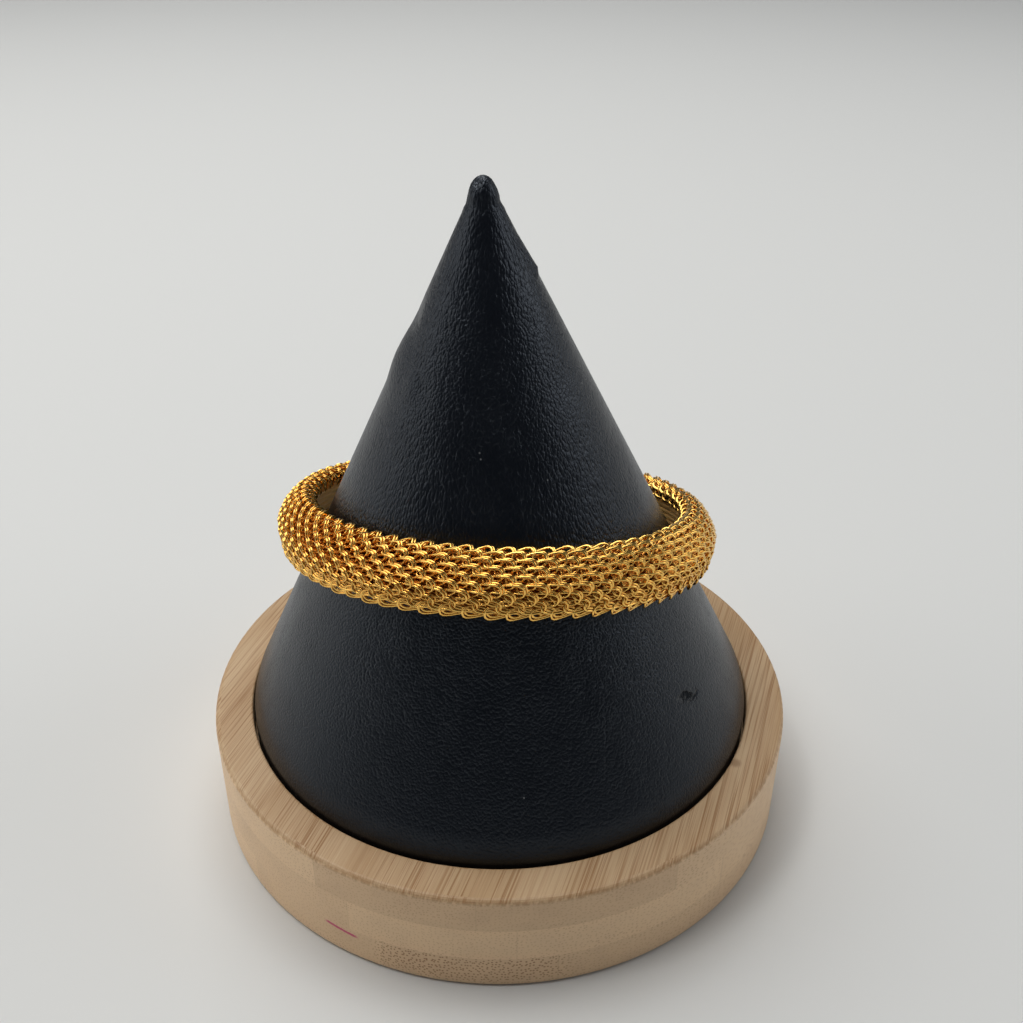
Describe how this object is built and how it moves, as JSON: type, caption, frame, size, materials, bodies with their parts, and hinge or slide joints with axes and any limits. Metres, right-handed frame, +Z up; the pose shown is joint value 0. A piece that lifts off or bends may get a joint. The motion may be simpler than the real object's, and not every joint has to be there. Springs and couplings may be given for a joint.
{
  "type": "mesh bracelet on cone display stand",
  "caption": "Slightly oval bracelet of woven gold wire links on a ribbed inner band, lying tilted round a black leather display cone in a round bamboo base.",
  "frame": {"origin": "middle of the bamboo base's underside, on the surface that the stand stands on", "axes": "+Z up towards the cone's tip; -Y is the front, where the bracelet lies higher on the cone; +X to the right seen from the front"},
  "size_m": [0.095, 0.095, 0.104],
  "materials": {
    "bamboo": "satin",
    "black_leather": "satin",
    "gold_mesh": "polished",
    "gold_band": "polished"
  },
  "bodies": {
    "root": {"bamboo_base": "bamboo", "leather_cone": "black_leather", "mesh_band": "gold_mesh", "inner_band": "gold_band"}
  },
  "joints": []
}
